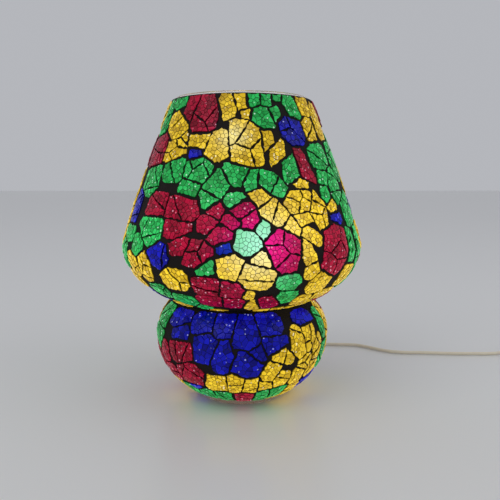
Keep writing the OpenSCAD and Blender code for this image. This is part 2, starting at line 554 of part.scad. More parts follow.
module inner_lead() { color("ivory") tube(inner_route, cord_r); }
module lead_live() { color("brown") tube(live_route, 0.7, 6); }
module lead_neutral() { color("steelblue") tube(neutral_route, 0.7, 6); }
module cord_boot() {
    color("ivory")
        translate([0, 0, exit_z]) rotate([-90, 0, 0])
            rotate_extrude()
                polygon([[cord_r + 0.15, boot_in_y], [boot_hole_r, boot_in_y], [boot_hole_r, 63.6],
                         [boot_r, 63.6], [boot_r, 66], [boot_r - 0.6, 70],
                         [cord_r + 0.8, boot_tip_y], [cord_r + 0.15, boot_tip_y]]);
}
module cord_run() { color("ivory") tube(run_route, cord_r); }
module cord_link() { color("ivory") tube(link_route, cord_r); }
module cord_tail() { color("ivory") tube(tail_route, cord_r); }
module cord_coil() {
    color("ivory")
        translate([coil_mid[0], coil_mid[1], 0])
            rotate_extrude()
                translate([coil_mean_r, 0])
                    polygon([[-coil_half_w, 1.5], [-coil_half_w + 1.5, 0.1], [coil_half_w - 1.5, 0.1],
                             [coil_half_w, 1.5], [coil_half_w, coil_h - 2],
                             [coil_half_w - 2, coil_h], [2 - coil_half_w, coil_h],
                             [-coil_half_w, coil_h - 2]]);
}
module coil_tie() {
    tie_t = 0.8;
    tie_w = 4;
    color("dimgray")
        translate([coil_mid[0] + coil_mean_r, coil_mid[1] - tie_w / 2, 0])
            difference() {
                translate([-coil_half_w - tie_t, 0, 0.02])
                    cube([2 * (coil_half_w + tie_t), tie_w, coil_h + tie_t]);
                translate([-coil_half_w - 0.05, -1, 0.06])
                    cube([2 * coil_half_w + 0.1, tie_w + 2, coil_h + 0.04]);
            }
}

// ---- inline switch ----
switch_len = 60;
switch_w = 24;
switch_h = 15;
switch_wall = 1.6;
switch_split = 8.2;
switch_mid = [326, 87];
switch_cord_z = 7.5;
rocker_l = 17;
rocker_w = 10;
axle_z = 11.4;
slot_play = 0.4;
screw_spots = [[-20, 6], [20, 6]];
boss_r = 3;

module at_switch() { translate([switch_mid[0], switch_mid[1], 0]) children(); }
module pill(len, w, h, r) {
    linear_extrude(h)
        hull()
            for (x = [-1, 1], y = [-1, 1])
                translate([x * (len / 2 - r), y * (w / 2 - r)]) circle(r = r, $fn = 32);
}
module switch_cavity(from, to) {
    translate([0, 0, from])
        pill(switch_len - 2 * switch_wall, switch_w - 2 * switch_wall, to - from, 5.4);
}
module switch_cord_holes() {
    translate([-switch_len, 0, switch_cord_z]) rotate([0, 90, 0])
        cylinder(r = cord_r + 0.3, h = 2 * switch_len, $fn = 48);
}
module at_screws(z) {
    for (spot = screw_spots) translate([spot[0], spot[1], z]) children();
}
module switch_base() {
    color("ivory") at_switch() difference() {
        union() {
            difference() {
                pill(switch_len, switch_w, switch_split, 7);
                switch_cavity(switch_wall, switch_split + 1);
            }
            at_screws(0.8) cylinder(r = boss_r, h = switch_split - 0.8, $fn = 48);
        }
        switch_cord_holes();
        at_screws(-1) cylinder(r = 1.1, h = switch_split + 2, $fn = 48);
        at_screws(-1) cylinder(r = 2.1, h = 3, $fn = 48);
    }
}
module switch_cover() {
    color("ivory") at_switch() difference() {
        union() {
            difference() {
                translate([0, 0, switch_split]) pill(switch_len, switch_w, switch_h - switch_split, 7);
                switch_cavity(switch_split - 1, switch_h - switch_wall);
            }
            at_screws(switch_split) cylinder(r = boss_r, h = switch_h - switch_split - 0.8, $fn = 48);
        }
        switch_cord_holes();
        at_screws(switch_split - 1) cylinder(r = 1.1, h = 4.6, $fn = 48);
        translate([-rocker_l / 2 - slot_play, -rocker_w / 2 - slot_play, switch_h - 3])
            cube([rocker_l + 2 * slot_play, rocker_w + 2 * slot_play, 6]);
    }
}
module switch_rocker() {
    tilt = 10;
    color("dimgray") at_switch() translate([0, 0, axle_z])
        difference() {
            rotate([90, 0, 0]) translate([0, 0, -rocker_w / 2])
                linear_extrude(rocker_w)
                    rotate(-tilt) polygon([[-7.6, 0.8], [-5, -2.6], [5, -2.6], [7.6, 0.8],
                                          [7.4, 4.6], [0, 3.2], [-7.4, 4.6]]);
            rotate([90, 0, 0]) translate([0, 0, -rocker_w])
                cylinder(r = 1.05, h = 2 * rocker_w, $fn = 48);
        }
}
module switch_axle() {
    color("silver") at_switch() translate([0, 0, axle_z])
        rotate([90, 0, 0]) translate([0, 0, -switch_w / 2 + switch_wall])
            cylinder(r = 1, h = switch_w - 2 * switch_wall, $fn = 48);
}
module switch_contacts() {
    color("goldenrod") at_switch()
        for (x = [-14, 6]) translate([x, -1.5, switch_wall]) {
            cube([8, 3, 0.6]);
            cube([0.6, 3, 3]);
        }
}
module switch_screws() {
    color("silver") at_switch() at_screws(0.6) {
        cylinder(r = 2, h = 1.3, $fn = 48);
        cylinder(r = 1, h = 10.6, $fn = 48);
    }
}

// ---- plug ----
plug_start = tail_route[len(tail_route) - 1];
plug_len = 34;
plug_w = 32;
plug_h = 13.6;
boot_len = 20;
pin_r = 2;
pin_len = 19;
pin_pitch = 19;

module plug_body() {
    color("ivory")
        translate([plug_start[0], plug_start[1], 0]) {
            translate([-boot_len, 0, plug_start[2]]) rotate([0, 90, 0])
                rotate_extrude() polygon([[0, 0], [5.4, 0], [cord_r + 0.9, boot_len], [0, boot_len]]);
            translate([-boot_len - plug_len, 0, 0.2])
                linear_extrude(plug_h - 0.2)
                    polygon([[0, -plug_w / 2 + 3], [3, -plug_w / 2], [14, -plug_w / 2], [plug_len, -7],
                             [plug_len, 7], [14, plug_w / 2], [3, plug_w / 2], [0, plug_w / 2 - 3]]);
        }
}
module plug_pins() {
    color("silver")
        translate([plug_start[0] - boot_len - plug_len, plug_start[1], plug_start[2]])
            for (y = [-1, 1]) translate([0, y * pin_pitch / 2, 0]) rotate([0, -90, 0])
                cylinder(r = pin_r, h = pin_len, $fn = 64);
}

glass_body();
grout(0, neck_index);  // shade_grout
grout(neck_index, last);  // bowl_grout
shade_glass(RED);  // shade_red_pieces
shade_glass(YELLOW);  // shade_yellow_pieces
shade_glass(GREEN);  // shade_green_pieces
shade_glass(BLUE);  // shade_blue_pieces
bowl_glass(RED);  // bowl_red_pieces
bowl_glass(YELLOW);  // bowl_yellow_pieces
bowl_glass(GREEN);  // bowl_green_pieces
bowl_glass(BLUE);  // bowl_blue_pieces
adhesive_bed();
wood_block();
holder_body();
holder_shell();
holder_centre_contact();
holder_side_contact();
terminal_screws();
mounting_screws();
holder_lining();
bulb_contact();
bulb_insulator();
bulb_cap();
bulb_housing();
bulb_driver();
bulb_led_board();
bulb_diffuser();
inner_lead();
lead_live();
lead_neutral();
cord_boot();
cord_run();
switch_base();
switch_cover();
switch_rocker();
switch_axle();
switch_contacts();
switch_screws();
cord_link();
cord_coil();
coil_tie();
cord_tail();
plug_body();
plug_pins();
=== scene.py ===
"""Crackle-glass mosaic table lamp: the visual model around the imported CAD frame."""

import bisect
import math
import random

import bmesh
import bpy
import numpy as np
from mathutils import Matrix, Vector, noise


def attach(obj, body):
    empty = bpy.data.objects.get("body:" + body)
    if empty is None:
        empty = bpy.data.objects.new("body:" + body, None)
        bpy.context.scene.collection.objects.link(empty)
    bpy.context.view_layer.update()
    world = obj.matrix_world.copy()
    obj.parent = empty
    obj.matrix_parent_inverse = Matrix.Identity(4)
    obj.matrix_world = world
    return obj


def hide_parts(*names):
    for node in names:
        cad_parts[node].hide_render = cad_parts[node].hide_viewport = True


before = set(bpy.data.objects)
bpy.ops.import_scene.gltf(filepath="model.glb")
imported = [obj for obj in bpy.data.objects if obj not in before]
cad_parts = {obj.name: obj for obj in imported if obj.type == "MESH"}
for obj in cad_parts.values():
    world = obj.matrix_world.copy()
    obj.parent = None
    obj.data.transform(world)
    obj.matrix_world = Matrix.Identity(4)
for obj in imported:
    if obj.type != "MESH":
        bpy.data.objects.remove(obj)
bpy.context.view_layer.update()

MM = 0.001


# ---------------------------------------------------------------- camera

SENSOR_MM, LENS_MM = 36, 40.8
CAMERA_PLACE = (0.0, -0.481, 0.187)
CAMERA_DOWN, CAMERA_RIGHT = 7.62, 0.81  # degrees

camera_data = bpy.data.cameras.new("camera")
camera_data.sensor_width = SENSOR_MM
camera_data.lens = LENS_MM
camera_data.clip_start = 0.01
camera_data.clip_end = 60
camera = bpy.data.objects.new("camera", camera_data)
bpy.context.scene.collection.objects.link(camera)
camera.location = CAMERA_PLACE
camera.rotation_euler = (math.radians(90 - CAMERA_DOWN), 0, math.radians(-CAMERA_RIGHT))
bpy.context.scene.camera = camera
bpy.context.scene.view_settings.view_transform = "Standard"

# ---------------------------------------------------------------- helpers


def add_piece(name, data, replaces, body="lamp"):
    """A new piece that rides on body and stands for the CAD nodes in replaces."""
    ob = bpy.data.objects.new(name, data)
    bpy.context.scene.collection.objects.link(ob)
    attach(ob, body)
    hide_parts(*replaces)
    return ob


def mesh_from(name, verts, faces, smooth=False):
    me = bpy.data.meshes.new(name)
    me.from_pydata([tuple(v) for v in verts], [], faces)
    me.validate()
    me.update()
    for poly in me.polygons:
        poly.use_smooth = smooth
    return me


def cord_curve(name, points, diameter):
    """A round cord through points. Its thickness is in the knots' radius, which its box counts."""
    cu = bpy.data.curves.new(name, "CURVE")
    cu.dimensions = "3D"
    cu.bevel_depth = 1.0
    cu.bevel_resolution = cu.resolution_u = 6
    cu.use_fill_caps = True
    spline = cu.splines.new("BEZIER")
    spline.bezier_points.add(len(points) - 1)
    for knot, p in zip(spline.bezier_points, points):
        knot.co = p
        knot.radius = diameter / 2
        knot.handle_left_type = knot.handle_right_type = "AUTO"
    return cu


def cord_length(ob):
    """The curve's own length along its centreline, in metres."""
    return round(ob.data.splines[0].calc_length(), 4)


# ---------------------------------------------------------------- cords

CORD_D = 3.2 * MM

# The routes are those of part.scad, in mm.
run_route = [
    (0, 84, 20), (0, 90, 19.6), (0.5, 96, 17.4), (1.5, 101.5, 13), (3.5, 106.5, 8.2),
    (7, 111, 4.4), (12, 115.5, 2.3), (19, 119.5, 1.8), (28, 122.5, 1.8), (40, 124.5, 1.8),
    (55, 125, 1.8), (72, 124, 1.8), (90, 122.5, 1.8), (106, 121, 1.8), (117, 120, 1.8),
    (126, 117.5, 1.8), (134, 112.5, 1.8), (142, 105.5, 1.8), (150, 99, 1.8), (160, 94, 1.8),
    (172, 91.5, 1.8), (186, 91, 1.8), (203, 89, 1.8), (222, 87.5, 1.8), (242, 87, 1.8),
    (260, 87, 1.8), (268, 87, 2.4), (276, 87, 4.2), (284, 87, 6.3), (290, 87, 7.3),
    (296, 87, 7.5), (304, 87, 7.5),
]
link_route = [
    (348, 87, 7.5), (356, 87, 7.5), (362, 87, 7.2), (369, 86.4, 5.6), (376, 85.2, 3.4),
    (384, 83.8, 2.0),
]
tail_route = [
    (384, 40.8, 11.2), (376, 40.5, 10.1), (368, 40.2, 8.6), (360, 40, 7.4), (352, 40, 7),
    (346, 40, 7),
]


COIL_X, COIL_Y = 392.0, 62.0
COIL_RADII, COIL_LAYERS = (21.2, 18.0, 14.8), 4
COIL_LOW, LAYER_STEP = 1.8, 3.25
TURN_POINTS, CROSSING = 16, 0.25


def coil_route():
    """Eleven and a half turns, wound inwards and outwards by layers, one on the other.

    Over the last part of each turn, its CROSSING share, the cord crosses to the next turn's place.
    """
    slots = []
    for layer in range(COIL_LAYERS):
        radii = COIL_RADII[::-1] if layer % 2 else COIL_RADII
        slots += [(r, COIL_LOW + layer * LAYER_STEP) for r in radii]
    points = []
    for i in range(len(slots) * TURN_POINTS - TURN_POINTS // 2 + 1):
        turn, part = divmod(i, TURN_POINTS)
        r, z = slots[turn]
        if turn + 1 < len(slots):
            share = max(0.0, (part / TURN_POINTS - (1 - CROSSING)) / CROSSING)
            r += (slots[turn + 1][0] - r) * share
            z += (slots[turn + 1][1] - z) * share
        angle = math.pi / 2 - 2 * math.pi * i / TURN_POINTS
        points.append((COIL_X + r * math.cos(angle), COIL_Y + r * math.sin(angle), z))
    return points


run_points = [Vector(p) * MM for p in run_route]
link_points = [Vector(p) * MM for p in link_route + coil_route() + tail_route]

cord_to_switch = add_piece(
    "cord_to_switch", cord_curve("cord_to_switch", run_points, CORD_D), replaces=["cord_run"]
)
cord_to_plug = add_piece(
    "cord_to_plug",
    cord_curve("cord_to_plug", link_points, CORD_D),
    replaces=["cord_link", "cord_coil", "cord_tail"],
)
print("cord lengths", cord_length(cord_to_switch), cord_length(cord_to_plug))

# ---------------------------------------------------------------- outline of the mosaic bed

# All in mm, as in the CAD. A way is a distance down the bed's outline from its top edge.
BED_T = 2.5
SHADE_R, MOUTH_R, SHADE_Z, TOP_Z, SHADE_UNDER = 99, 57.4, 130, 246, 57.5
BOWL_R, BOWL_Z, BOWL_OVER, BOWL_UNDER, BED_END_R = 72.4, 55.5, 45.5, 59.5, 38
WALL_POWER, BOWL_POWER, NECK_FILLET = 1.1, 2.13, 2.5
WALL_STEPS, NECK_STEPS, OVER_STEPS, UNDER_STEPS = 48, 8, 21, 42


def under_z(r):
    """Height of the shade's underside at radius r."""
    return SHADE_Z - SHADE_UNDER * math.sqrt(1 - (r / SHADE_R) ** 2)


def over_z(r):
    """Height of the bowl's upper side at radius r."""
    return BOWL_Z + BOWL_OVER * math.sqrt(1 - (r / BOWL_R) ** 2)


def crease_radius():
    """The radius where the shade's underside meets the bowl, found by halving."""
    low, high = 45.0, 70.0
    for _ in range(40):
        mid = (low + high) / 2
        low, high = (mid, high) if under_z(mid) < over_z(mid) else (low, mid)
    return low


def bed_outline():
    """Points (radius, height) from the top edge to the foot, and the index of the neck's middle."""
    crease, probe = crease_radius(), 3.0
    under_a = math.atan2(under_z(crease + probe) - under_z(crease), probe)
    over_a = math.atan2(over_z(crease + probe) - over_z(crease), probe)
    half = (under_a - over_a) / 2
    reach = NECK_FILLET / math.tan(half)
    mid_a = (under_a + over_a) / 2
    centre = (
        crease + NECK_FILLET / math.sin(half) * math.cos(mid_a),
        under_z(crease) + NECK_FILLET / math.sin(half) * math.sin(mid_a),
    )
    under_end = math.acos((crease + reach * math.cos(under_a)) / SHADE_R)
    over_start = math.acos((crease + reach * math.cos(over_a)) / BOWL_R)
    bed_end = math.acos((BED_END_R / BOWL_R) ** (BOWL_POWER / 2))
    line = []
    for i in range(WALL_STEPS, -1, -1):
        t = i / WALL_STEPS
        r = SHADE_R - (SHADE_R - MOUTH_R) * t**WALL_POWER
        line.append((r, SHADE_Z + (TOP_Z - SHADE_Z) * t))
    for i in range(1, UNDER_STEPS + 1):
        a = under_end * i / UNDER_STEPS
        line.append((SHADE_R * math.cos(a), SHADE_Z - SHADE_UNDER * math.sin(a)))
    neck = len(line) + NECK_STEPS // 2 - 1
    for i in range(1, NECK_STEPS):
        a = math.pi / 2 + under_a + (math.pi - 2 * half) * i / NECK_STEPS
        line.append((centre[0] + NECK_FILLET * math.cos(a), centre[1] + NECK_FILLET * math.sin(a)))
    for i in range(OVER_STEPS, -1, -1):
        a = over_start * i / OVER_STEPS
        line.append((BOWL_R * math.cos(a), BOWL_Z + BOWL_OVER * math.sin(a)))
    for i in range(1, UNDER_STEPS + 1):
        a = bed_end * i / UNDER_STEPS
        line.append(
            (
                BOWL_R * math.cos(a) ** (2 / BOWL_POWER),
                BOWL_Z - BOWL_UNDER * math.sin(a) ** (2 / BOWL_POWER),
            )
        )
    return line, neck


outline, neck_index = bed_outline()
bed = np.array(outline)
steps = np.linalg.norm(np.diff(bed, axis=0), axis=1)
ways = np.concatenate([[0], np.cumsum(steps)])
tangents = np.zeros_like(bed)
tangents[1:-1] = bed[2:] - bed[:-2]
tangents[0], tangents[-1] = bed[1] - bed[0], bed[-1] - bed[-2]
tangents /= np.linalg.norm(tangents, axis=1)[:, None]
outs = np.stack([-tangents[:, 1], tangents[:, 0]], axis=1)
way_list = ways.tolist()
bed_rows = [tuple(row) for row in np.concatenate([bed, outs], axis=1).tolist()]
NECK_S, END_S = way_list[neck_index], way_list[-1]


def profile(s, d):
    """Radius and height in mm, at way s down the bed and d out from it."""
    i = min(max(bisect.bisect_right(way_list, s) - 1, 0), len(way_list) - 2)
    t = (s - way_list[i]) / (way_list[i + 1] - way_list[i])
    r, z, nr, nz = (p + (q - p) * t for p, q in zip(bed_rows[i], bed_rows[i + 1]))
    return r + d * nr, z + d * nz


def on_bed(azimuth, s, d):
    """The point in metres at azimuth degrees round from the front, way s and d out."""
    r, z = profile(s, d)
    a = math.radians(azimuth)
    return (r * math.sin(a) * MM, -r * math.cos(a) * MM, z * MM)


def chart(point):
    """Azimuth in degrees, way down and distance out in mm, for a point in metres."""
    x, y, z = point[0] / MM, point[1] / MM, point[2] / MM
    q = np.array([math.hypot(x, y), z])
    a, b = bed[:-1], bed[1:]
    t = np.clip(((q - a) * (b - a)).sum(1) / (steps**2), 0, 1)
    near = a + (b - a) * t[:, None]
    far = np.linalg.norm(q - near, axis=1)
    i = int(far.argmin())
    side = float(((q - near[i]) * outs[i]).sum())
    return (
        math.degrees(math.atan2(x, -y)),
        way_list[i] + float(t[i]) * float(steps[i]),
        math.copysign(float(far[i]), side),
    )


def mm_per_degree(s):
    """How far one degree of azimuth is round the lamp, at way s."""
    return profile(s, 0)[0] * math.pi / 180


# ---------------------------------------------------------------- plates of the CAD mosaic

WELD = 1e-5  # metres
RING_OUT = 0.1  # mm that the edge of a plate's face stands out of the bed, at least


def loose_parts(me):
    """The points of each separate solid in a mesh."""
    bm = bmesh.new()
    bm.from_mesh(me)
    bmesh.ops.remove_doubles(bm, verts=bm.verts, dist=WELD)
    bm.verts.index_update()
    seen, parts = set(), []
    for v in bm.verts:
        if v.index in seen:
            continue
        seen.add(v.index)
        part, todo = [], [v]
        while todo:
            w = todo.pop()
            part.append(w.co.copy())
            for e in w.link_edges:
                o = e.other_vert(w)
                if o.index not in seen:
                    seen.add(o.index)
                    todo.append(o)
        parts.append(part)
    bm.free()
    return parts


def plates_of(node):
    """Each plate as (azimuth, way down, outline in local mm), from the CAD's own solids."""
    plates = []
    for part in loose_parts(bpy.data.objects[node].data):
        marks = [chart(p) for p in part]
        crown = max(marks, key=lambda m: m[2])
        ring = [m for m in marks if m[2] > RING_OUT and m is not crown]
        if len(ring) < 3:
            continue
        az0, s0 = crown[0], sum(m[1] for m in ring) / len(ring)
        k = mm_per_degree(s0)
        local = [(((m[0] - az0 + 180) % 360 - 180) * k, m[1] - s0) for m in ring]
        cx = sum(p[0] for p in local) / len(local)
        local.sort(key=lambda p: math.atan2(p[1], p[0] - cx))
        plates.append((az0, s0, local))
    plates.sort(key=lambda p: (round(p[1], 3), round(p[0], 3)))
    return plates


# ---------------------------------------------------------------- outlines

PLATE_GROWTH, CORNER_REACH = 1.6, 1.35
EXIT_ON_BED, EXIT_CLEAR = (0, 0.066, 0.020), 8
LOOK_DOWN, LOOK_ROUND = 60, 75  # how far off two plates may be to count as neighbours
TOUCHING, NEIGHBOUR_GAP = 0.05, 8
RIM_MARGIN, NECK_MARGIN, FOOT_MARGIN = 0.8, 1, 0.5
ROW_SHARE = 0.87  # the rows of a scatter, as a share of its pitch
NEAR_SEEDS = 18


def clip(poly, nx, ny, limit):
    """The part of poly where nx * x + ny * y is at most limit."""
    out = []
    n = len(poly)
    for i in range(n):
        ax, ay = poly[i]
        bx, by = poly[(i + 1) % n]
        da, db = nx * ax + ny * ay - limit, nx * bx + ny * by - limit
        if da <= 0:
            out.append((ax, ay))
        if (da <= 0) != (db <= 0):
            t = da / (da - db)
            out.append((ax + (bx - ax) * t, ay + (by - ay) * t))
    return out


def area_of(poly):
    """Area, positive where poly runs anticlockwise."""
    return 0.5 * sum(
        poly[i][0] * poly[(i + 1) % len(poly)][1] - poly[(i + 1) % len(poly)][0] * poly[i][1]
        for i in range(len(poly))
    )


def grown(poly, amount):
    """poly pushed out by that many mm, with its corners kept short."""
    if area_of(poly) < 0:
        poly = poly[::-1]
    out = []
    for i, (x, y) in enumerate(poly):
        ax, ay = poly[i - 1]
        bx, by = poly[(i + 1) % len(poly)]
        u = Vector((y - ay, ax - x)).normalized()
        v = Vector((by - y, x - bx)).normalized()
        way = (u + v).normalized()
        reach = amount * min(1 / max(way.dot(u), 0.1), CORNER_REACH)
        out.append((x + way.x * reach, y + way.y * reach))
    return out


def nearest(a, b):
    """How far apart two outlines are, and the closest point on each."""
    best = (1e9, None, None)
    for p, q, turned in ((a, b, False), (b, a, True)):
        p, q = np.array(p), np.array(q)
        side = np.roll(q, -1, axis=0) - q
        t = ((p[:, None] - q) * side).sum(2) / np.maximum((side**2).sum(1), 1e-9)
        foot = q + side * np.clip(t, 0, 1)[..., None]
        far = np.linalg.norm(p[:, None] - foot, axis=2)
        i, j = np.unravel_index(far.argmin(), far.shape)
        if far[i, j] < best[0]:
            ends = (p[i], foot[i, j])
            best = (far[i, j], *(ends[::-1] if turned else ends))
    return best


def cord_exit_plate():
    """The round spot that the cord's boot takes up, as a plate that the others stay clear of."""
    angles = [t * math.pi / 8 for t in range(16)]
    ring = [(EXIT_CLEAR * math.cos(a), EXIT_CLEAR * math.sin(a)) for a in angles]
    return ("exit", *chart(EXIT_ON_BED)[:2], ring)


def spread_plates(named, growth, same_gap, other_gap):
    """Each plate grown towards its neighbours, leaving a crack or a wider band of grout."""
    around = [(node, *plate) for node, plate in named] + [cord_exit_plate()]
    result = {}
    for node, (az0, s0, shape) in named:
        k = mm_per_degree(s0)
        poly = grown(shape, growth.get(node, PLATE_GROWTH))
        for other, az1, s1, outline in around:
            turn = (az1 - az0 + 180) % 360 - 180
            itself = (az1, s1) == (az0, s0)
            if itself or abs(s1 - s0) > LOOK_DOWN or abs(turn * k) > LOOK_ROUND:
                continue
            k1 = mm_per_degree(s1)
            there = [((turn + x / k1) * k, s1 - s0 + y) for x, y in outline]
            far, mine, theirs = nearest(shape, there)
            if not TOUCHING < far < NEIGHBOUR_GAP:
                continue
            nx, ny = (theirs - mine) / far
            gap = min(same_gap if other == node else other_gap, far)
            middle = (mine + theirs) / 2
            poly = clip(poly, nx, ny, nx * middle[0] + ny * middle[1] - gap / 2)
        top, bottom = NECK_S + NECK_MARGIN, END_S - FOOT_MARGIN
        if node.startswith("shade"):
            top, bottom = RIM_MARGIN, NECK_S - NECK_MARGIN
        poly = clip(clip(poly, 0, -1, s0 - top), 0, 1, bottom - s0)
        result.setdefault(node, []).append((az0, s0, poly))
    return result


def inside(poly, x, y):
    """Whether the point is inside poly, by counting the sides that it is left of."""
    hit = False
    for i in range(len(poly)):
        ax, ay = poly[i]
        bx, by = poly[(i + 1) % len(poly)]
        if (ay > y) != (by > y) and x < (bx - ax) * (y - ay) / (by - ay) + ax:
            hit = not hit
    return hit


def edge_distance(poly, x, y):
    """How far the point is from poly's nearest side."""
    best = 1e9
    for i in range(len(poly)):
        ax, ay = poly[i]
        dx, dy = poly[(i + 1) % len(poly)][0] - ax, poly[(i + 1) % len(poly)][1] - ay
        t = ((x - ax) * dx + (y - ay) * dy) / max(dx * dx + dy * dy, 1e-9)
        t = min(max(t, 0), 1)
        best = min(best, math.hypot(x - ax - dx * t, y - ay - dy * t))
    return best


def scatter(poly, pitch, rng, loose):
    """Jittered points of a turned grid, inside poly."""
    turn = rng.uniform(0, math.pi)
    c, s = math.cos(turn), math.sin(turn)
    reach = max(math.hypot(*p) for p in poly) + pitch
    n = int(reach / pitch) + 1
    ox, oy = rng.uniform(0, pitch), rng.uniform(0, pitch)
    found = []
    for i in range(-n, n + 1):
        for j in range(-n, n + 1):
            u = (i + 0.5 * (j % 2)) * pitch + ox + rng.uniform(-loose, loose) * pitch
            v = j * pitch * ROW_SHARE + oy + rng.uniform(-loose, loose) * pitch
            x, y = u * c - v * s, u * s + v * c
            if inside(poly, x, y):
                found.append((x, y))
    return found


def voronoi(poly, seeds, gap):
    """The part of poly nearest each seed, with gap mm left between two parts."""
    cells = []
    for i, (x, y) in enumerate(seeds):
        cell = poly
        near = sorted(
            (math.hypot(u - x, v - y), u, v) for j, (u, v) in enumerate(seeds) if j != i
        )[:NEAR_SEEDS]
        for far, u, v in near:
            if far < 1e-6:
                continue
            if far / 2 > max(math.hypot(px - x, py - y) for px, py in cell) + 0.01:
                break
            nx, ny = (u - x) / far, (v - y) / far
            cell = clip(cell, nx, ny, nx * (x + u) / 2 + ny * (y + v) / 2 - gap / 2)
            if len(cell) < 3:
                break
        cells.append(cell if len(cell) >= 3 else None)
    return cells


# ---------------------------------------------------------------- where the bulb lights the glass

# The bright spots as centre, reach and strength, then the two lit belts in metres of height.
BRIGHT_SPOTS = [
    (Vector(on_bed(8, 114, 0)), 19 * MM, 1.0),
    (Vector(on_bed(-5, 35, 0)), 9 * MM, 0.6),
]
LIT_EVERYWHERE = 0.72
BULB_BELT_Z, BULB_BELT_REACH, BULB_BELT_LIFT = 0.14, 0.048, 0.34
FOOT_BELT_Z, FOOT_BELT_REACH, FOOT_BELT_LIFT = 0.024, 0.02, 0.2


def near_bulb(co):
    """How much of a bright spot the point is in, from 0 to 1."""
    value = sum(
        strength * math.exp(-(((Vector(co) - centre).length / reach) ** 2))
        for centre, reach, strength in BRIGHT_SPOTS
    )
    return min(value, 1.0)


def lit_level(co):
    """How strongly the bulb lights the glass at that height, the same all round."""
    belt = math.exp(-(((co[2] - BULB_BELT_Z) / BULB_BELT_REACH) ** 2))
    low = math.exp(-(((co[2] - FOOT_BELT_Z) / FOOT_BELT_REACH) ** 2))
    return LIT_EVERYWHERE + BULB_BELT_LIFT * belt + FOOT_BELT_LIFT * low


# ---------------------------------------------------------------- crackle

# In mm, apart from the slope and the shares. Areas are in square mm.
CHUNK_LOOSE, FACET_LOOSE = 0.3, 0.34
WHOLE_PLATE = 1.3  # a plate under this many chunk squares in area stays in one chunk
EDGE_STEP, EDGE_ROUGH, EDGE_OUT, EDGE_SLIP, SHORTEST_SIDE = 2.0, 0.95, 0.35, 0.2, 0.25
SMALLEST_PIECE, SMALLEST_RIM, SMALLEST_FACET = 5, 4, 0.2
CROWN_EDGE, CROWN_RISE, CROWN_REACH = 0.42, 0.8, 6
CHUNK_LIFT, FACET_LIFT, FACET_SLOPE, FACET_PEAK = 0.12, 0.1, 0.11, 0.09
RIM_FALL, CRACK_FALL, ON_THE_RIM = 0.32, 0.16, 0.05
CORNER_IN = -0.3
INSET, INSET_SHARE, OWN_TONE = 0.38, 0.35, 0.6
PLATE_SINK, SKIN_SINK = 0.14, 0.06  # how far plates and grout reach into the glass
TOP_SPARE, FOOT_SPARE = 0.4, 0.3
KEYS_PER_MM = 250


def roughened(poly, rng):
    """poly with its edges broken into short uneven lengths."""
    out = []
    n = len(poly)
    for i in range(n):
        ax, ay = poly[i]
        bx, by = poly[(i + 1) % n]
        length = math.hypot(bx - ax, by - ay)
        if length < SHORTEST_SIDE:
            continue
        parts = max(1, round(length / EDGE_STEP))
        nx, ny = (by - ay) / length, (ax - bx) / length
        for k in range(parts):
            if k:
                t = k / parts + rng.uniform(-EDGE_SLIP, EDGE_SLIP) / parts
                d = rng.uniform(-1, EDGE_OUT) * EDGE_ROUGH
            else:
                t = 0.0
                d = CORNER_IN * EDGE_ROUGH * rng.random()
            out.append((ax + (bx - ax) * t + nx * d, ay + (by - ay) * t + ny * d))
    return out


def merged_ring(cell, shared):
    """A cell's corners, each replaced by the one that a neighbour has already placed there."""
    keys = []
    for x, y in cell:
        key = (round(x * KEYS_PER_MM), round(y * KEYS_PER_MM))
        around = [(key[0] + i, key[1] + j) for i in (0, -1, 1) for j in (0, -1, 1)]
        key = next((k for k in around if k in shared), key)
        shared.setdefault(key, (x, y))
        if not keys or (key != keys[-1] and key != keys[0]):
            keys.append(key)
    return keys


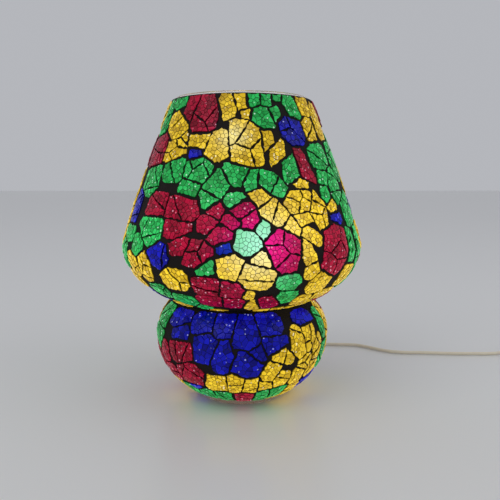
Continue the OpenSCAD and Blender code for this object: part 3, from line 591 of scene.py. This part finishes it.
class Mosaic:
    """Collects one colour's crackled plates as vertices and faces."""

    def __init__(self, seed):
        self.rng = random.Random(seed)
        self.verts, self.faces, self.tones, self.edges = [], [], [], []

    def add_plate(self, plate, pitch, chunk, gap):
        """Breaks a plate into chunks, and each chunk's face into crackled facets."""
        self.azimuth, self.way, shape = plate
        self.k = mm_per_degree(self.way)
        self.shape = shape[::-1] if area_of(shape) < 0 else shape
        seeds = []
        if area_of(self.shape) > WHOLE_PLATE * chunk * chunk:
            seeds = scatter(self.shape, chunk, self.rng, CHUNK_LOOSE)
        pieces = voronoi(self.shape, seeds, gap) if len(seeds) > 1 else [self.shape]
        for piece in pieces:
            big = piece and area_of(piece) > SMALLEST_PIECE
            rim = roughened(piece, self.rng) if big else []
            if len(rim) >= 3 and area_of(rim) >= SMALLEST_RIM:
                self.add_chunk(rim, pitch)

    def crown(self, x, y):
        """How far the plate's face stands out there: low at its edge, full further in."""
        rise = min(edge_distance(self.shape, x, y) / CROWN_REACH, 1)
        return CROWN_EDGE + CROWN_RISE * rise * (2 - rise)

    def put(self, x, y, d, tone, edge):
        """Adds a vertex at x, y on the plate and d out, and gives its index."""
        s = min(max(self.way + y, TOP_SPARE), END_S - FOOT_SPARE)
        self.verts.append(on_bed(self.azimuth + x / self.k, s, d))
        self.tones.append(tone)
        self.edges.append(edge)
        return len(self.verts) - 1

    def add_chunk(self, rim, pitch):
        """One chunk: facets over its face, a flat back, and walls where no facet meets another."""
        rng = self.rng
        middle = (sum(p[0] for p in rim) / len(rim), sum(p[1] for p in rim) / len(rim))
        cells = voronoi(rim, scatter(rim, pitch, rng, FACET_LOOSE) or [middle], 0.0)
        lift = rng.uniform(-CHUNK_LIFT, CHUNK_LIFT)
        top, low, shared, sides = {}, {}, {}, set()
        for cell in cells:
            keys = merged_ring(cell, shared) if cell else []
            ring = [shared[key] for key in keys]
            if len(keys) < 3 or area_of(ring) < SMALLEST_FACET:
                continue
            tone = rng.random()
            inner, mid = self.add_facet(rim, keys, ring, lift, tone, top, low)
            for i, key in enumerate(keys):
                j = (i + 1) % len(keys)
                self.faces.append((top[keys[j]], top[key], inner[i], inner[j]))
                self.faces.append((inner[j], inner[i], mid))
                sides.add((keys[j], key))
            self.faces.append(tuple(low[key] for key in keys))
        for a, b in sorted(sides):
            if (b, a) not in sides:
                self.faces.append((top[b], top[a], low[a], low[b]))

    def add_facet(self, rim, keys, ring, lift, tone, top, low):
        """One facet's vertices: its corners in top and low, its raised inner ring and its peak."""
        rng = self.rng
        cx = sum(p[0] for p in ring) / len(ring)
        cy = sum(p[1] for p in ring) / len(ring)
        slope, lean = rng.uniform(0, FACET_SLOPE), rng.uniform(0, 2 * math.pi)
        tx, ty = slope * math.cos(lean), slope * math.sin(lean)
        base = self.crown(cx, cy) + lift + rng.uniform(-FACET_LIFT, FACET_LIFT)
        for key, (x, y) in zip(keys, ring):
            if key not in top:
                fall = RIM_FALL if edge_distance(rim, x, y) < ON_THE_RIM else CRACK_FALL
                top[key] = self.put(x, y, self.crown(x, y) + lift - fall, tone, 0.0)
                low[key] = self.put(x, y, -BED_T - PLATE_SINK, tone, 0.5)
        inner = []
        for x, y in ring:
            far = math.hypot(cx - x, cy - y)
            pull = min(INSET, far * INSET_SHARE) / max(far, 1e-6)
            ix, iy = x + (cx - x) * pull, y + (cy - y) * pull
            inner.append(self.put(ix, iy, base + (ix - cx) * tx + (iy - cy) * ty, tone, 1.0))
        peak_tone = rng.random() * (1 - OWN_TONE) + tone * OWN_TONE
        return inner, self.put(cx, cy, base + FACET_PEAK, peak_tone, 1.0)


def attribute(me, name, values):
    """Gives each vertex a number that the materials read by name."""
    layer = me.attributes.new(name, "FLOAT", "POINT")
    layer.data.foreach_set("value", values)


def crackled(node, plates, seed, pitch, chunk, gap):
    """The piece that stands for a mosaic node, with all its plates crackled."""
    mosaic = Mosaic(seed)
    for plate in plates:
        mosaic.add_plate(plate, pitch, chunk, gap)
    me = mesh_from(node + "_crackled", mosaic.verts, mosaic.faces)
    attribute(me, "tone", mosaic.tones)
    attribute(me, "edge", mosaic.edges)
    attribute(me, "near_bulb", [near_bulb(co) for co in mosaic.verts])
    attribute(me, "lit_level", [lit_level(co) for co in mosaic.verts])
    return add_piece(node + "_crackled", me, replaces=[node])


# ---------------------------------------------------------------- materials


class Nodes:
    """A material with one Principled shader, and short ways to feed it."""

    def __init__(self, name, **values):
        self.mat = bpy.data.materials.new(name)
        self.mat.use_nodes = True
        self.tree = self.mat.node_tree
        self.shader = self.tree.nodes["Principled BSDF"]
        for key, value in values.items():
            socket = self.shader.inputs[key.replace("_", " ")]
            socket.default_value = (*value, 1) if isinstance(value, tuple) else value

    def node(self, kind, **settings):
        n = self.tree.nodes.new(kind)
        for key, value in settings.items():
            if hasattr(n, key):
                setattr(n, key, value)
            else:
                n.inputs[key.replace("_", " ")].default_value = value
        return n

    def link(self, a, b):
        self.tree.links.new(a, b)
        return self

    def place(self):
        return self.node("ShaderNodeTexCoord").outputs["Object"]

    def noise(self, scale, detail=3.0, roughness=0.5):
        n = self.node("ShaderNodeTexNoise", Scale=scale, Detail=detail, Roughness=roughness)
        self.link(self.place(), n.inputs["Vector"])
        return n.outputs["Fac"]

    def cells(self, scale, feature="F1"):
        n = self.node("ShaderNodeTexVoronoi", feature=feature, Scale=scale)
        self.link(self.place(), n.inputs["Vector"])
        return n

    def value(self, name):
        return self.node("ShaderNodeAttribute", attribute_name=name).outputs["Fac"]

    def maths(self, operation, a, b=0.0):
        n = self.node("ShaderNodeMath", operation=operation)
        for socket, v in zip(n.inputs, (a, b)):
            if hasattr(v, "links"):
                self.link(v, socket)
            else:
                socket.default_value = v
        return n.outputs[0]

    def spread(self, fac, low, high, to_low=0.0, to_high=1.0):
        n = self.node("ShaderNodeMapRange")
        self.link(fac, n.inputs["Value"])
        limits = {"From Min": low, "From Max": high, "To Min": to_low, "To Max": to_high}
        for key, v in limits.items():
            n.inputs[key].default_value = v
        return n.outputs["Result"]

    def mix(self, fac, a, b, blend="MIX"):
        n = self.node("ShaderNodeMix", data_type="RGBA", blend_type=blend)
        colour_a, colour_b = n.inputs[6], n.inputs[7]
        for socket, v in zip((n.inputs["Factor"], colour_a, colour_b), (fac, a, b)):
            if hasattr(v, "links"):
                self.link(v, socket)
            else:
                socket.default_value = (*v, 1) if isinstance(v, tuple) else v
        return n.outputs[2]

    def feed(self, name, output):
        return self.link(output, self.shader.inputs[name])

    def bump(self, height, strength, distance):
        n = self.node("ShaderNodeBump", Strength=strength, Distance=distance)
        self.link(height, n.inputs["Height"])
        return self.feed("Normal", n.outputs["Normal"])


def glass_piece(name, base, glow_low, glow_high, bright_spot_colour, glints=0.74):
    """Crackled coloured glass, lit from behind.

    Its glow, painted light from the bulb behind, runs from glow_low to glow_high over the facets,
    and to the bright-spot colour in the painted bright spots.
    glints is the share of the small cells that get no painted glint.
    """
    m = Nodes(name, Roughness=0.2, IOR=1.5, Specular_IOR_Level=0.16, Emission_Strength=1.0)
    tone, edge, near = m.value("tone"), m.value("edge"), m.value("near_bulb")
    grain = m.noise(420, 4.0, 0.6)
    mixed_tone = m.maths("ADD", m.maths("MULTIPLY", tone, 0.65), m.maths("MULTIPLY", grain, 0.35))
    crack = m.spread(edge, 0.2, 1.0, 0.1, 1.0)
    shade = m.mix(crack, (0, 0, 0), (1, 1, 1))
    glow = m.mix(m.spread(mixed_tone, 0.15, 0.85), glow_low, glow_high)
    level = m.node("ShaderNodeCombineColor")
    for channel in level.inputs[:3]:
        m.link(m.value("lit_level"), channel)
    glow = m.mix(1.0, glow, level.outputs[0], "MULTIPLY")
    # painted bright spots: the glow turns toward a paler colour where the bulb's light pools
    bright_spot_glow = m.mix(m.maths("POWER", near, 0.8), glow, bright_spot_colour)
    shaded = m.mix(1.0, bright_spot_glow, shade, "MULTIPLY")
    # painted glints: pale specks in the glow on a share of small cells
    glint_cells = m.cells(430)
    split = m.node("ShaderNodeSeparateColor")
    m.link(glint_cells.outputs["Color"], split.inputs[0])
    picked = m.spread(split.outputs[0], glints, glints + 0.06)
    dot = m.spread(glint_cells.outputs["Distance"], 0.18, 0.34, 1.0, 0.0)
    glint = m.maths("MULTIPLY", m.maths("MULTIPLY", picked, dot), m.maths("MULTIPLY", crack, 0.65))
    lit = m.mix(glint, shaded, m.mix(0.5, bright_spot_colour, (1.0, 1.0, 1.0)))
    m.feed("Base Color", m.mix(1.0, m.mix(mixed_tone, (0, 0, 0), base), shade, "MULTIPLY"))
    m.feed("Emission Color", lit)
    m.bump(m.cells(900).outputs["Distance"], 0.35, 0.0004)
    return m.mat


def grout_material():
    m = Nodes("grout_black", Roughness=0.7, Specular_IOR_Level=0.15)
    tint = m.mix(m.noise(55, 3.0), (0.003, 0.0025, 0.0025), (0.012, 0.006, 0.004))
    m.feed("Base Color", m.mix(m.noise(900, 5.0, 0.7), tint, (0.016, 0.013, 0.012)))
    m.bump(m.noise(1100, 6.0, 0.65), 0.6, 0.0005)
    return m.mat


def blown_glass():
    m = Nodes(
        "glass_clear_painted_glow",
        Base_Color=(0.97, 0.98, 0.97),
        IOR=1.48,
        Transmission_Weight=0.92,
        Emission_Strength=1.0,
    )
    m.feed("Roughness", m.spread(m.noise(60, 3.0), 0.3, 0.8, 0.06, 0.22))
    # faint warm emission: painted glow of the bulb's light in the glass wall
    m.feed("Emission Color", m.mix(m.noise(40, 3.0), (0.02, 0.014, 0.01), (0.05, 0.036, 0.026)))
    m.bump(m.noise(35, 2.0), 0.1, 0.002)
    return m.mat


def plastic(name, low, high, roughness):
    m = Nodes(name, Roughness=roughness)
    m.feed("Base Color", m.mix(m.noise(45, 4.0), low, high))
    m.bump(m.noise(600, 3.0), 0.12, 0.0003)
    return m.mat


def metal(name, low, high, roughness=(0.22, 0.42)):
    m = Nodes(name, Metallic=1.0)
    m.feed("Base Color", m.mix(m.noise(160, 4.0), low, high))
    m.feed("Roughness", m.spread(m.noise(320, 5.0), 0.3, 0.75, *roughness))
    m.bump(m.noise(900, 2.0), 0.08, 0.0002)
    return m.mat


def wood_material():
    m = Nodes("wood_block_grain", Roughness=0.58)
    wave = m.node("ShaderNodeTexWave", wave_type="RINGS", Scale=55.0, Distortion=5.0, Detail=3.0)
    spot = m.node("ShaderNodeMapping")
    spot.inputs["Location"].default_value = (0.09, 0.05, 0)
    spot.inputs["Scale"].default_value = (1, 0.25, 1)
    m.link(m.place(), spot.inputs["Vector"]).link(spot.outputs["Vector"], wave.inputs["Vector"])
    grain = m.mix(wave.outputs["Fac"], (0.5, 0.3, 0.13), (0.27, 0.14, 0.055))
    m.feed("Base Color", m.mix(m.noise(240, 5.0), grain, (0.42, 0.25, 0.11)))
    m.bump(wave.outputs["Fac"], 0.2, 0.0006)
    return m.mat


def lit_diffuser():
    m = Nodes("bulb_opal", Roughness=0.4, Emission_Strength=1.5)
    m.feed("Base Color", m.mix(m.noise(60, 2.0), (0.92, 0.9, 0.85), (0.98, 0.96, 0.92)))
    m.feed("Emission Color", m.mix(m.noise(30, 2.0), (1.0, 0.78, 0.5), (1.0, 0.86, 0.62)))
    return m.mat


def cord_material():
    m = Nodes("cord_cream", Roughness=0.42, Sheen_Weight=0.1)
    m.feed("Base Color", m.mix(m.noise(120, 4.0), (0.74, 0.66, 0.5), (0.84, 0.77, 0.62)))
    m.bump(m.noise(700, 3.0), 0.15, 0.0003)
    return m.mat


def fibre_card():
    m = Nodes("card_fibre", Roughness=0.85)
    m.feed("Base Color", m.mix(m.noise(900, 6.0, 0.7), (0.55, 0.45, 0.3), (0.75, 0.67, 0.52)))
    m.bump(m.noise(1400, 5.0), 0.4, 0.0003)
    return m.mat


glasses = {
    "red": glass_piece(
        "glass_red",
        base=(0.12, 0.002, 0.008),
        glow_low=(0.13, 0.0, 0.009),
        glow_high=(0.44, 0.002, 0.038),
        bright_spot_colour=(0.95, 0.01, 0.28),
    ),
    "yellow": glass_piece(
        "glass_yellow",
        base=(0.42, 0.27, 0.006),
        glow_low=(0.46, 0.27, 0.004),
        glow_high=(0.98, 0.68, 0.03),
        bright_spot_colour=(1.0, 0.92, 0.42),
    ),
    "green": glass_piece(
        "glass_green",
        base=(0.008, 0.18, 0.04),
        glow_low=(0.002, 0.17, 0.022),
        glow_high=(0.03, 0.56, 0.12),
        bright_spot_colour=(0.45, 1.0, 0.72),
    ),
    "blue": glass_piece(
        "glass_blue",
        base=(0.002, 0.003, 0.12),
        glow_low=(0.001, 0.001, 0.11),
        glow_high=(0.006, 0.009, 0.52),
        bright_spot_colour=(0.01, 0.08, 0.85),
        glints=0.86,
    ),
}

# ---------------------------------------------------------------- mosaic and grout

# Each row is the node, then its facets' pitch, its chunks' size and the gap between them, in mm.
COLOURED = [
    ("shade_red_pieces", 3.3, 15.0, 0.6),
    ("shade_yellow_pieces", 3.2, 13.0, 0.6),
    ("shade_green_pieces", 3.3, 13.5, 0.6),
    ("shade_blue_pieces", 3.6, 14.0, 0.6),
    ("bowl_red_pieces", 3.3, 14.0, 0.6),
    ("bowl_yellow_pieces", 3.2, 11.0, 0.65),
    ("bowl_green_pieces", 3.4, 12.0, 0.6),
    ("bowl_blue_pieces", 4.4, 17.0, 0.5),
]
FIRST_SEED = 11

laid = spread_plates(
    [(row[0], plate) for row in COLOURED for plate in plates_of(row[0])],
    {"bowl_blue_pieces": 2.6, "bowl_yellow_pieces": 1.9},
    same_gap=0.75,
    other_gap=1.4,
)
for seed, (node, pitch, chunk, gap) in enumerate(COLOURED, FIRST_SEED):
    colour = node.split("_")[1]
    ob = crackled(node, laid[node], seed, pitch, chunk, gap)
    ob.data.materials.append(glasses[colour])

SKIN_DEPTH, BIG_LUMP, SMALL_LUMP, LUMP_AT_END = 0.12, 0.22, 0.12, 0.3


def grout_skin(node, start, end, around, down):
    """Lumpy filler between two ways down the bed, closed at both ends."""
    verts, faces = [], []
    back = down // 3
    rows = [(start + (end - start) * j / down, True) for j in range(down + 1)]
    rows += [(end - (end - start) * j / back, False) for j in range(back + 1)]
    for s, outside in rows:
        at_end = abs(s - start) < 0.01 or abs(s - end) < 0.01
        for i in range(around):
            azimuth = 360 * i / around
            d = -BED_T - SKIN_SINK
            if outside:
                p = Vector(on_bed(azimuth, s, 0))
                lump = BIG_LUMP * noise.noise(p * 300) + SMALL_LUMP * noise.noise(p * 900)
                d = -SKIN_DEPTH + (LUMP_AT_END if at_end else 1.0) * lump
            verts.append(on_bed(azimuth, s, d))
    n = len(rows)
    for j in range(n):
        for i in range(around):
            k, far = (i + 1) % around, (j + 1) % n
            faces.append((j * around + i, far * around + i, far * around + k, j * around + k))
    me = mesh_from(node + "_skin", verts, faces, smooth=True)
    me.materials.append(black_grout)
    add_piece(node + "_skin", me, replaces=[node])


black_grout = grout_material()
grout_skin("shade_grout", 0.0, NECK_S, around=420, down=130)
grout_skin("bowl_grout", NECK_S, END_S, around=320, down=72)

# ---------------------------------------------------------------- other pieces


FLAT_DEGREES, EDGE_DEGREES, ROUND_SEGMENTS = 0.6, 35, 3


def softened(node, width, body, mat):
    """The CAD node's shape with its edges rounded over width mm, in its place."""
    me = bpy.data.objects[node].data.copy()
    me.name = node + "_soft"
    bm = bmesh.new()
    bm.from_mesh(me)
    bmesh.ops.remove_doubles(bm, verts=bm.verts, dist=WELD)
    flat = math.radians(FLAT_DEGREES)
    bmesh.ops.dissolve_limit(bm, angle_limit=flat, verts=bm.verts, edges=bm.edges)
    bm.to_mesh(me)
    bm.free()
    for poly in me.polygons:
        poly.use_smooth = False
    me.materials.clear()
    me.materials.append(mat)
    ob = add_piece(node + "_soft", me, replaces=[node], body=body)
    mod = ob.modifiers.new("round", "BEVEL")
    mod.width = width * MM
    mod.segments = ROUND_SEGMENTS
    mod.limit_method = "ANGLE"
    mod.angle_limit = math.radians(EDGE_DEGREES)


def dress(name, mat):
    """Puts one material in all of a piece's or node's slots."""
    ob = bpy.data.objects[name]
    if not ob.material_slots:
        ob.data.materials.append(mat)
    for slot in ob.material_slots:
        slot.material = mat


cream = plastic("switch_cream", (0.76, 0.7, 0.58), (0.82, 0.77, 0.66), 0.3)
cord_skin = cord_material()
steel = metal("steel_plated", (0.5, 0.5, 0.5), (0.68, 0.68, 0.67))
brass = metal("brass_pressed", (0.62, 0.42, 0.14), (0.78, 0.58, 0.25))
nickel = metal("nickel_plated", (0.66, 0.64, 0.6), (0.8, 0.78, 0.74), (0.12, 0.3))
cap_metal = metal("cap_plated", (0.6, 0.6, 0.58), (0.75, 0.75, 0.72))
for name, mat in {
    "glass_body": blown_glass(),
    "adhesive_bed": plastic("adhesive_set", (0.6, 0.59, 0.55), (0.72, 0.71, 0.67), 0.4),
    "wood_block": wood_material(),
    "holder_body": plastic("holder_white", (0.78, 0.76, 0.7), (0.86, 0.84, 0.78), 0.45),
    "holder_lining": fibre_card(),
    "holder_shell": brass,
    "holder_centre_contact": brass,
    "holder_side_contact": brass,
    "terminal_screws": steel,
    "mounting_screws": steel,
    "bulb_contact": steel,
    "bulb_insulator": plastic("insulator_black", (0.01, 0.01, 0.012), (0.03, 0.03, 0.035), 0.2),
    "bulb_cap": cap_metal,
    "bulb_housing": plastic("bulb_white", (0.84, 0.83, 0.8), (0.9, 0.89, 0.86), 0.38),
    "bulb_driver": plastic("board_green", (0.02, 0.14, 0.05), (0.05, 0.24, 0.09), 0.4),
    "bulb_led_board": plastic("board_white", (0.75, 0.75, 0.74), (0.86, 0.86, 0.85), 0.5),
    "bulb_diffuser": lit_diffuser(),
    "inner_lead": cord_skin,
    "lead_live": plastic("core_brown", (0.13, 0.05, 0.02), (0.2, 0.08, 0.03), 0.4),
    "lead_neutral": plastic("core_blue", (0.02, 0.07, 0.32), (0.04, 0.12, 0.45), 0.4),
    "cord_boot": plastic("boot_cream", (0.7, 0.62, 0.48), (0.78, 0.71, 0.57), 0.5),
    "switch_axle": steel,
    "switch_contacts": brass,
    "switch_screws": steel,
    "coil_tie": plastic("tie_black", (0.012, 0.012, 0.013), (0.03, 0.03, 0.03), 0.4),
    "plug_pins": nickel,
    "cord_to_switch": cord_skin,
    "cord_to_plug": cord_skin,
}.items():
    dress(name, mat)

rocker_black = plastic("rocker_black", (0.01, 0.01, 0.012), (0.03, 0.03, 0.032), 0.25)
softened("switch_base", 1.0, "lamp", cream)
softened("switch_cover", 1.2, "lamp", cream)
softened("switch_rocker", 0.6, "rocker", rocker_black)
softened("plug_body", 1.6, "lamp", cream)

# ---------------------------------------------------------------- stage

FLOOR_HALF, FLOOR_DROP = 6, 0.0002
FLOOR_COLOUR, SKY_COLOUR, SKY_STRENGTH = (0.8, 0.8, 0.79), (0.92, 0.94, 1.0), 0.5
LIGHTS_AIM = (0, 0, 0.1)

bm = bmesh.new()
bmesh.ops.create_grid(bm, x_segments=1, y_segments=1, size=FLOOR_HALF)
floor_mesh = bpy.data.meshes.new("floor")
bm.to_mesh(floor_mesh)
bm.free()
floor = bpy.data.objects.new("floor", floor_mesh)
bpy.context.scene.collection.objects.link(floor)
floor.location = (0, 0, -FLOOR_DROP)
floor_mesh.materials.append(Nodes("floor_pale", Base_Color=FLOOR_COLOUR, Roughness=0.3).mat)

world = bpy.data.worlds.new("studio")
world.use_nodes = True
sky = world.node_tree.nodes["Background"].inputs
sky["Color"].default_value = (*SKY_COLOUR, 1)
sky["Strength"].default_value = SKY_STRENGTH
bpy.context.scene.world = world


def soft_light(name, where, size, watts):
    data = bpy.data.lights.new(name, "AREA")
    data.shape = "RECTANGLE"
    data.size = data.size_y = size
    data.energy = watts
    ob = bpy.data.objects.new(name, data)
    bpy.context.scene.collection.objects.link(ob)
    ob.location = where
    ob.rotation_euler = (Vector(where) - Vector(LIGHTS_AIM)).to_track_quat("Z", "Y").to_euler()


soft_light("key", where=(-1.1, -1.2, 1.7), size=1.4, watts=9)
soft_light("fill", where=(1.4, -0.6, 1.1), size=1.2, watts=4)

# ---------------------------------------------------------------- last update

bpy.context.view_layer.update()
